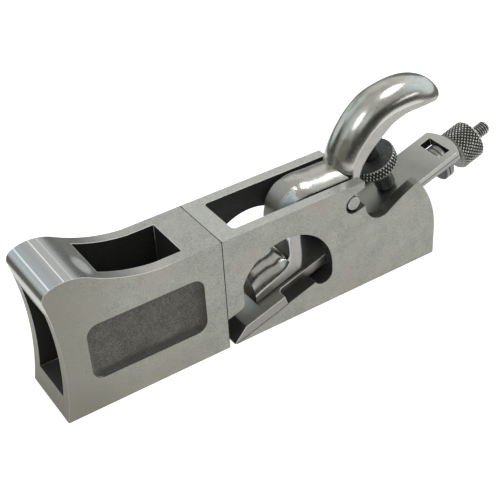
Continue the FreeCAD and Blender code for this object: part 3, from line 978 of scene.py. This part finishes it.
def sectionGrid(rows, reach, rise, crown, base, band=None):
    # Each section: a flat underside, two flat sides and a round arch over them. The arch is the
    # circle through both shoulders and the crown's top; over the band's rows it goes over to a flat
    # band with a slope at either side, sooner near the sides. Corners are eased by averaging.
    c = leverCap
    row = eased(rows, c["sections"])
    spot = np.linspace(0, len(rows) - 1, c["sections"])
    if base == 0:
        row[:, 1] = np.maximum(row[:, 1], 0)  # the head's underside stays on its land
    half = c["halfWidth"] * np.minimum(row[:, 5], 1)
    start = pinPlace + bedAlong * c["setBack"] + bedUp * (base - c["pinAbove"])
    under = start + bedAlong * (row[:, 0] * reach)[:, None] + bedUp * (row[:, 1] * rise)[:, None]
    shoulder = start + bedAlong * (row[:, 2] * reach)[:, None] + bedUp * (row[:, 3] * rise)[:, None]
    out = shoulder - under
    height = np.linalg.norm(out, axis=1)
    out = out / height[:, None]
    arch = np.maximum(row[:, 4] * crown, c["leastCrown"])
    radius = (half ** 2 + arch ** 2) / (2 * arch)
    halfArc = np.arcsin(np.minimum(half / radius, 1))
    swing = np.where(arch > half, np.pi - halfArc, halfArc)
    flat = np.linspace(-1, 1, c["underPoints"])[None, :-1]
    side = np.linspace(0, 1, c["sidePoints"])[None, :-1]
    bend = np.linspace(1, -1, c["archPoints"])[None, :-1]
    lowY, lowH = half[:, None] * flat, 0 * flat * height[:, None]
    rightY, rightH = half[:, None] + 0 * side, height[:, None] * side
    archY = radius[:, None] * np.sin(swing[:, None] * bend)
    archH = (height + arch - radius)[:, None] + radius[:, None] * np.cos(swing[:, None] * bend)
    leftY, leftH = -half[:, None] + 0 * side, height[:, None] * (1 - side)
    if band:
        begin, full, last, end = band
        width = np.interp(spot, *c["bandWidths"])[:, None]
        slope = np.clip((1 - np.abs(bend)) / (1 - width), 0, 1)
        late = c["bandSlant"] * (1 - slope)
        rising = np.clip((spot[:, None] - begin) / (full - begin), 0, 1)
        falling = np.clip((end - late - spot[:, None]) / (end - last), 0, 1)
        share = rising * falling
        archH = archH + (height[:, None] + arch[:, None] * slope - archH) * share
        archY = archY + (half[:, None] * bend - archY) * share
    y = np.concatenate([lowY, rightY, archY, leftY], axis=1)
    h = np.concatenate([lowH, rightH, archH, leftH], axis=1)
    for step in range(c["soften"]):
        y = (np.roll(y, 1, 1) + 2 * y + np.roll(y, -1, 1)) / 4
        h = (np.roll(h, 1, 1) + 2 * h + np.roll(h, -1, 1)) / 4
    points = under[:, None, :] + out[:, None, :] * h[:, :, None] + np.array([0, 1, 0]) * y[:, :, None]
    crownFrom = flat.shape[1] + side.shape[1]
    slots = np.ones((points.shape[0] - 1, points.shape[1]), int)
    top = slots[:, crownFrom:crownFrom + bend.shape[1]]
    top[:] = 0
    if band:
        inBand = share > c["bandFrom"]
        top[inBand[:-1]] = 3
        top[(inBand & (slope > c["bandFlat"]))[:-1]] = 2
    return points, slots


def closedTube(points, gridSlots):
    # Quads between neighbouring sections, with one flat face at each end in the sides' finish
    index, quads = ringQuads(points)
    faces = quads[:, ::-1].tolist() + [index[0].tolist(), index[-1][::-1].tolist()]
    slots = np.append(gridSlots.ravel(), (1, 1))
    return points.reshape(-1, 3), faces, slots


def joinShapes(piece, other, operation):
    # Union or difference worked out once and kept in the mesh
    cut = piece.modifiers.new("join", "BOOLEAN")
    cut.operation = operation
    cut.solver = "EXACT"
    cut.object = other
    bpy.context.view_layer.update()
    made = bpy.data.meshes.new_from_object(piece.evaluated_get(bpy.context.evaluated_depsgraph_get()))
    piece.modifiers.clear()
    piece.data = made
    bpy.data.objects.remove(other)


def borePoints():
    # The clamping screw's bore: a plain rod of two rings about the screw's axis
    c = leverCap
    foot = np.array(joints["cap_screw_turn"]["pos_m"], float)
    axis = np.array(joints["cap_screw_turn"]["axis"], float)
    first = np.cross(axis, [0, 1, 0])
    first = first / np.linalg.norm(first)
    second = np.cross(axis, first)
    turn = np.linspace(0, 2 * np.pi, c["boreSides"], endpoint=False)
    ring = c["boreRadius"] * (np.cos(turn)[:, None] * first + np.sin(turn)[:, None] * second)
    start = foot + axis * c["boreFrom"]
    return np.stack([start + ring, start + axis * c["boreLength"] + ring]), np.ones((1, len(turn)), int)


def makeLeverCap():
    c = leverCap
    finishes = [crownPolish, satinSide, headFront, headSlope]
    head = sectionGrid(headRows, c["headReach"], c["headRise"], c["headCrown"], 0, c["bandRows"])
    hook = sectionGrid(hookRows, c["hookReach"], c["hookRise"], c["hookCrown"], c["headRise"])
    piece = rawObject("leverCap", *closedTube(*head), finishes)
    joinShapes(piece, rawObject("hookPart", *closedTube(*hook), finishes), "UNION")
    bore = rawObject("screwBore", *closedTube(*borePoints()), finishes)
    joinShapes(piece, bore, "DIFFERENCE")
    seatPiece(piece, c["sharpAngle"], "lever_cap", "lever_cap")


makeLeverCap()


def revolve(joint, outline, sides, knurl=None, thread=None):
    # Turns a closed outline of radius and distance about a joint's axis. A knurl lowers the surface
    # in two crossing sets of spiral grooves, a thread in one spiral. Gives the dips too, as shares.
    axis = np.array(joints[joint]["axis"], float)
    foot = np.array(joints[joint]["pos_m"], float)
    first = np.cross([0, 1, 0], axis)
    first = first / np.linalg.norm(first)
    second = np.cross(axis, first)
    turn = np.linspace(0, 2 * np.pi, sides, endpoint=False)[None, :]
    radius = outline[:, 0][:, None] + 0 * turn
    along = outline[:, 1][:, None] + 0 * turn
    dip = 0 * along
    if knurl:
        lean = along / knurl["pitch"]
        turns = turn * knurl["count"] / (2 * np.pi)
        groove = [np.abs(np.mod(turns + way * lean, 1) * 2 - 1) for way in (-1, 1)]
        mask = np.clip((radius - knurl["above"]) / knurl["fade"], 0, 1)
        dip = np.maximum(groove[0], groove[1]) ** knurl["sharp"] * mask
        radius = radius - knurl["depth"] * dip
    if thread:
        wave = np.abs(np.mod(along / thread["pitch"] - turn / (2 * np.pi), 1) * 2 - 1)
        inside = np.clip((along - thread["from"]) / thread["pitch"], 0, 1)
        inside = inside * np.clip((thread["to"] - along) / thread["pitch"], 0, 1)
        core = np.clip((radius - thread["core"]) / thread["fade"], 0, 1)
        dip = wave * inside * core
        radius = radius - thread["depth"] * dip
    ring = np.cos(turn)[:, :, None] * first + np.sin(turn)[:, :, None] * second
    return foot + axis * along[:, :, None] + ring * radius[:, :, None], dip


def spread(corners, steps):
    # Corners of an outline with even steps between them
    corners = np.asarray(corners, float)
    parts = [np.linspace(a, b, n, endpoint=False) for a, b, n in zip(corners[:-1], corners[1:], steps)]
    return np.concatenate(parts + [corners[-1:]])


def ringPiece(name, shape, body, node, materials, rowSlots, sharpAngle):
    # A turned piece: closed round its axis, and closed along its outline as well
    points, dip = shape
    index, quads = ringQuads(points, closed=True)
    slots = np.repeat(rowSlots, points.shape[1])
    piece = rawObject(name, points.reshape(-1, 3), quads.tolist(), slots, materials, dip.ravel())
    seatPiece(piece, sharpAngle, body, node)


clampWheel = {
    "bore": 3.02 * mm,
    "radius": 9.3 * mm,
    "bevel": 0.5 * mm,
    "start": 12.5 * mm,
    "thickness": 5.0 * mm,
    "knurl": {"count": 42, "pitch": 3.4 * mm, "depth": 0.50 * mm, "sharp": 1.3,
              "above": 8.85 * mm, "fade": 0.3 * mm},
    "steps": (6, 4, 44, 4, 6, 3),  # from each corner of the outline to the next
    "sides": 396,
    "sharpAngle": 40,
}


def makeWheel():
    w = clampWheel
    low, high = w["start"], w["start"] + w["thickness"]
    inner = w["radius"] - w["bevel"]
    corners = [(w["bore"], low), (inner, low), (w["radius"], low + w["bevel"]),
               (w["radius"], high - w["bevel"]), (inner, high), (w["bore"], high),
               (w["bore"], low + w["bevel"])]
    outline = spread(corners, w["steps"])
    slots = np.zeros(len(outline), int)
    slots[w["steps"][0]:sum(w["steps"][:4])] = 1  # the knurled rim and its bevels
    shape = revolve("cap_screw_turn", outline, w["sides"], w["knurl"])
    ringPiece("clampWheel", shape, "cap_screw_wheel", "cap_screw_wheel", [darkSteel, wheelKnurl], slots,
              w["sharpAngle"])


makeWheel()

adjuster = {
    "bore": 2.92 * mm,
    "radius": 8.3 * mm,
    "bevel": 1.0 * mm,
    "length": 11.5 * mm,  # the knurled barrel, from the solid's rear end
    "shortRear": 0.6 * mm,  # left off at that end
    "neck": 4.0 * mm,
    "flange": 7.2 * mm,
    "flangeLength": 4.4 * mm,
    "flangeBevel": 0.4 * mm,
    "groove": (1.7 * mm, 2.3 * mm),
    "grooveDepth": 0.5 * mm,
    "grooveSlope": 0.1 * mm,
    "knurl": {"count": 30, "pitch": 1.75 * mm, "depth": 0.60 * mm, "sharp": 1.3,
              "above": 7.3 * mm, "fade": 0.6 * mm},
    "steps": (3, 3, 3, 2, 2, 2, 3, 3, 3, 6, 3, 6, 78, 8, 4, 4),  # as for the wheel
    "sides": 380,
    "sharpAngle": 40,
}


def alongStud(node):
    # Where a node starts and ends along the stud's axis, from the joint's point
    axis = np.array(joints["adjuster_turn"]["axis"], float)
    foot = np.array(joints["adjuster_turn"]["pos_m"], float)
    data = frame["nodes"][node].data
    points = np.zeros(len(data.vertices) * 3)
    data.vertices.foreach_get("co", points)
    reach = (points.reshape(-1, 3) - foot) @ axis
    return reach.min(), reach.max()


def makeNut():
    a = adjuster
    start, rear = alongStud("adjuster_nut")
    barrel, end = rear - a["length"], rear - a["shortRear"]
    flangeEnd = start + a["flangeLength"]
    low, high = start + a["groove"][0], start + a["groove"][1]
    rim, sunk, slope = a["flange"] - a["flangeBevel"], a["flange"] - a["grooveDepth"], a["grooveSlope"]
    face = a["radius"] - a["bevel"]
    corners = [(a["bore"], start), (rim, start), (a["flange"], start + a["flangeBevel"]),
               (a["flange"], low), (sunk, low + slope), (sunk, high - slope), (a["flange"], high),
               (a["flange"], flangeEnd - a["flangeBevel"]), (rim, flangeEnd),
               (a["neck"], flangeEnd), (a["neck"], barrel), (face, barrel),
               (a["radius"], barrel + a["bevel"]), (a["radius"], end - a["bevel"]), (face, end),
               (a["bore"], end), (a["bore"], start + a["flangeBevel"])]
    outline = spread(corners, a["steps"])
    slots = np.zeros(len(outline), int)
    slots[:sum(a["steps"][:2])] = 2  # the flange's face
    slots[sum(a["steps"][:12]):sum(a["steps"][:14])] = 1  # the knurled barrel and its rear bevel
    shape = revolve("adjuster_turn", outline, a["sides"], a["knurl"])
    ringPiece("adjusterNut", shape, "adjuster_nut", "adjuster_nut", [nutPlain, nutKnurl, darkSteel], slots,
              a["sharpAngle"])


makeNut()


def spindlePiece(name, shape, body, node, materials, rowSlots, sharpAngle):
    # A turned piece that is solid to its axis: both ends are closed by one point each
    points, dip = shape
    index, quads = ringQuads(points)
    columns = points.shape[1]
    beside = np.roll(index, -1, 1)
    ends = [points[0].mean(0), points[-1].mean(0)]
    first, last = index.size, index.size + 1
    fans = [[first, b, a] for a, b in zip(index[0].tolist(), beside[0].tolist())]
    fans += [[last, a, b] for a, b in zip(index[-1].tolist(), beside[-1].tolist())]
    endSlots = [np.full(columns, rowSlots[0]), np.full(columns, rowSlots[-1])]
    slots = np.concatenate([np.repeat(rowSlots, columns), *endSlots])
    allPoints = np.concatenate([points.reshape(-1, 3), ends])
    dips = np.append(dip.ravel(), (0, 0))
    piece = rawObject(name, allPoints, quads.tolist() + fans, slots, materials, dips)
    seatPiece(piece, sharpAngle, body, node)


adjusterStud = {
    "radius": 2.9 * mm,
    "chamfer": 1.0 * mm,
    "endFlat": 0.2 * mm,
    "thread": {"pitch": 1.0 * mm, "depth": 0.60 * mm, "core": 2.0 * mm, "fade": 0.5 * mm},
    "threadFrom": 8 * mm,
    "threadPast": 2 * mm,
    "steps": (4, 620, 6, 4),
    "sides": 40,
    "sharpAngle": 38,
}


def makeStud():
    s = adjusterStud
    start, end = alongStud("adjuster_stud")
    corners = [(s["endFlat"], start), (s["radius"], start), (s["radius"], end - s["chamfer"]),
               (s["radius"] - s["chamfer"], end), (s["endFlat"], end)]
    outline = spread(corners, s["steps"])
    thread = {**s["thread"], "from": start + s["threadFrom"], "to": end + s["threadPast"]}
    shape = revolve("adjuster_turn", outline, s["sides"], thread=thread)
    slots = np.zeros(len(outline) - 1, int)
    spindlePiece("adjusterStud", shape, "plane_body", "adjuster_stud", [nutKnurl], slots, s["sharpAngle"])


clampScrew = {
    "foot": 4.0 * mm,
    "round": 1.0 * mm,
    "roundPoints": 7,
    "footLength": 12.48 * mm,
    "stem": 3.0 * mm,
    "stemEnd": 32.9 * mm,
    "chamfer": 0.5 * mm,
    "endFlat": 0.2 * mm,
    "thread": {"pitch": 1.0 * mm, "depth": 0.5 * mm, "core": 2.2 * mm, "fade": 0.4 * mm,
               "from": 18 * mm, "to": 35 * mm},
    "steps": (4, 1, 1, 1, 1, 1, 1, 12, 3, 200, 4, 4),
    "sides": 56,
    "sharpAngle": 38,
}


def makeClampScrew():
    c = clampScrew
    arc = np.linspace(0, np.pi / 2, c["roundPoints"])
    middle = c["foot"] - c["round"]
    foot = [(middle + c["round"] * math.sin(t), c["round"] - c["round"] * math.cos(t)) for t in arc]
    corners = [(c["endFlat"], 0), *foot, (c["foot"], c["footLength"]), (c["stem"], c["footLength"]),
               (c["stem"], c["stemEnd"] - c["chamfer"]), (c["stem"] - c["chamfer"], c["stemEnd"]),
               (c["endFlat"], c["stemEnd"])]
    outline = spread(corners, c["steps"])
    shape = revolve("cap_screw_turn", outline, c["sides"], thread=c["thread"])
    slots = np.zeros(len(outline) - 1, int)
    slots[sum(c["steps"][:8]):] = 1  # the stem
    spindlePiece("clampScrew", shape, "cap_screw_spindle", "cap_screw_spindle",
                 [darkSteel, blackInside], slots, c["sharpAngle"])


makeStud()
makeClampScrew()


# The room that the metal mirrors: white paper on a dark bench, a grey room with lighter and darker
# parts and three soft windows
room = {
    "level": (0.30, 0.296, 0.285),
    "overhead": (0.60, 0.592, 0.57),
    "coolTone": (1.0, 1.12, 1.16),
    "coolShare": 0.9,
    "coolSide": (0.35, 0.8),
    "patches": [  # direction, degrees from it where the patch is full and gone, tone
        ((-0.74, -0.10, 0.66), 14, 30, (0.70, 0.77, 0.81)),
        ((0.417, 0.69, 0.592), 10, 27, (0.78, 0.785, 0.765)),
        ((-0.20, 0.70, 0.68), 9, 19, (0.70, 0.77, 0.80)),
        ((-0.44, 0.69, 0.57), 9, 15, (0.74, 0.82, 0.86)),
        ((-0.12, 0.99, 0.0), 10, 22, (0.72, 0.78, 0.81)),
        ((0.70, 0.69, 0.16), 11, 19, (0.18, 0.18, 0.17)),
        ((-0.72, 0.68, 0.12), 17, 23, (0.08, 0.08, 0.075)),
        ((-0.38, -0.75, 0.54), 7, 15, (0.70, 0.77, 0.82)),
        ((-0.93, -0.28, 0.20), 14, 26, (0.21, 0.205, 0.17)),
        ((-0.42, 0.88, 0.22), 9, 17, (0.86, 0.94, 0.98)),
    ],
    "frontTone": (0.06, 0.06, 0.055),
    "frontShare": 1.0,
    "frontSide": (0.40, 0.80),
    "frontHeights": (0.30, 0.55),
    "paper": (0.22, 0.219, 0.212),  # glow of the paper and of the bench, as the metal mirrors them
    "bench": (0.16, 0.155, 0.145),
    "paperEdge": (0.20, 0.30),  # distances where the paper gives way to the bench
    "backLeft": (-0.643, 0.766),  # the same towards the back left, from a place along the plane
    "backLeftFrom": -0.035,
    "paperBackLeft": (0.11, 0.15),
    "floorTone": 0.86,
    "floorGlow": 0.66,
    "floorRadius": 0.9,
    "floorSides": 64,
    "floorDrop": 0.05 * mm,
    "lamps": [  # place, width and depth, radiance
        ((0.444, -0.204, 1.092), (0.42, 0.29), 6.2),
        ((0.682, -0.814, 0.297), (0.30, 0.15), 1.6),
        ((-0.708, -0.408, 0.876), (0.34, 0.26), 4.0),
    ],
}


def makeWorld():
    # Radiance by direction: from level to overhead, cooler to the right, dark low down in front, then
    # round patches
    world = bpy.data.worlds.new("room")
    bpy.context.scene.world = world
    world.use_nodes = True
    sky = Finish("room", world.node_tree)
    way = sky.add("TexCoord", output="Generated")
    x, y, z = sky.axes(way)
    tone = sky.mix(z, room["level"], room["overhead"])
    front = (-y).between(*room["frontSide"]) * (1 - z.between(*room["frontHeights"]))
    tone = sky.coats(tone, room, {"cool": x.between(*room["coolSide"]), "front": front})
    for direction, full, gone, patchTone in room["patches"]:
        unit = Vector(direction).normalized()
        facing = sky.add("VectorMath", {"operation": "DOT_PRODUCT"}, {0: way, 1: unit}, output="Value")
        share = facing.between(math.cos(math.radians(gone)), math.cos(math.radians(full)))
        tone = sky.mix(share, tone, patchTone)
    seen = sky.add("LightPath", output="Is Camera Ray")
    shown = sky.mix(seen, tone, (1.0, 1.0, 1.0))
    background = sky.add("Background", {}, {"Color": shown, "Strength": 1.0})
    sky.add("OutputWorld", {}, {"Surface": background})


def makeFloor():
    turn = np.linspace(0, 2 * np.pi, room["floorSides"], endpoint=False)
    ring = np.stack([np.cos(turn), np.sin(turn), 0 * turn], axis=1) * room["floorRadius"]
    ring[:, 2] = -room["floorDrop"]
    mesh = bpy.data.meshes.new("floor")
    mesh.from_pydata(ring, [], [list(range(room["floorSides"]))])
    floor = bpy.data.objects.new("floor", mesh)
    bpy.context.scene.collection.objects.link(floor)
    paper = Finish("whitePaper")
    x, y, z = paper.axes()
    away = (x - room["backLeftFrom"]) * room["backLeft"][0] + y * room["backLeft"][1]
    far = (x * x + y * y).root().between(*room["paperEdge"])
    far = far.greater(away.between(*room["paperBackLeft"]))
    tone = (room["floorTone"],) * 3 + (1,)
    lit = paper.add("BsdfDiffuse", {}, {"Color": tone})
    glow = paper.add("Emission", {}, {"Color": (1, 1, 1, 1), "Strength": room["floorGlow"]})
    both = paper.add("AddShader", {}, {0: lit, 1: glow})
    sheetGlow = paper.add("Emission", {}, {"Color": (*room["paper"], 1)})
    sheet = paper.add("AddShader", {}, {0: lit, 1: sheetGlow})
    bench = paper.add("Emission", {}, {"Color": (*room["bench"], 1)})
    mirrored = paper.add("MixShader", {}, {0: far, 1: sheet, 2: bench})
    camera = paper.add("LightPath", output="Is Camera Ray")
    glossy = paper.add("LightPath", output="Is Glossy Ray")
    shown = paper.add("MixShader", {}, {0: camera, 1: lit, 2: both})
    shown = paper.add("MixShader", {}, {0: glossy, 1: shown, 2: mirrored})
    paper.add("OutputMaterial", {}, {"Surface": shown})
    mesh.materials.append(paper.material)


def makeLamps():
    # Each lamp's power gives its face the wanted radiance: four times radiance times area
    for number, (place, (width, depth), radiance) in enumerate(room["lamps"]):
        light = bpy.data.lights.new(f"window{number}", "AREA")
        light.shape = "RECTANGLE"
        light.size = width
        light.size_y = depth
        light.energy = 4 * radiance * width * depth
        lamp = bpy.data.objects.new(f"window{number}", light)
        bpy.context.scene.collection.objects.link(lamp)
        lamp.location = place
        lamp.rotation_mode = "QUATERNION"
        lamp.rotation_quaternion = Vector(place).to_track_quat("Z", "Y")


print("room and camera")
makeWorld()
makeFloor()
makeLamps()
makeCamera()
bpy.context.scene.view_settings.view_transform = "Standard"
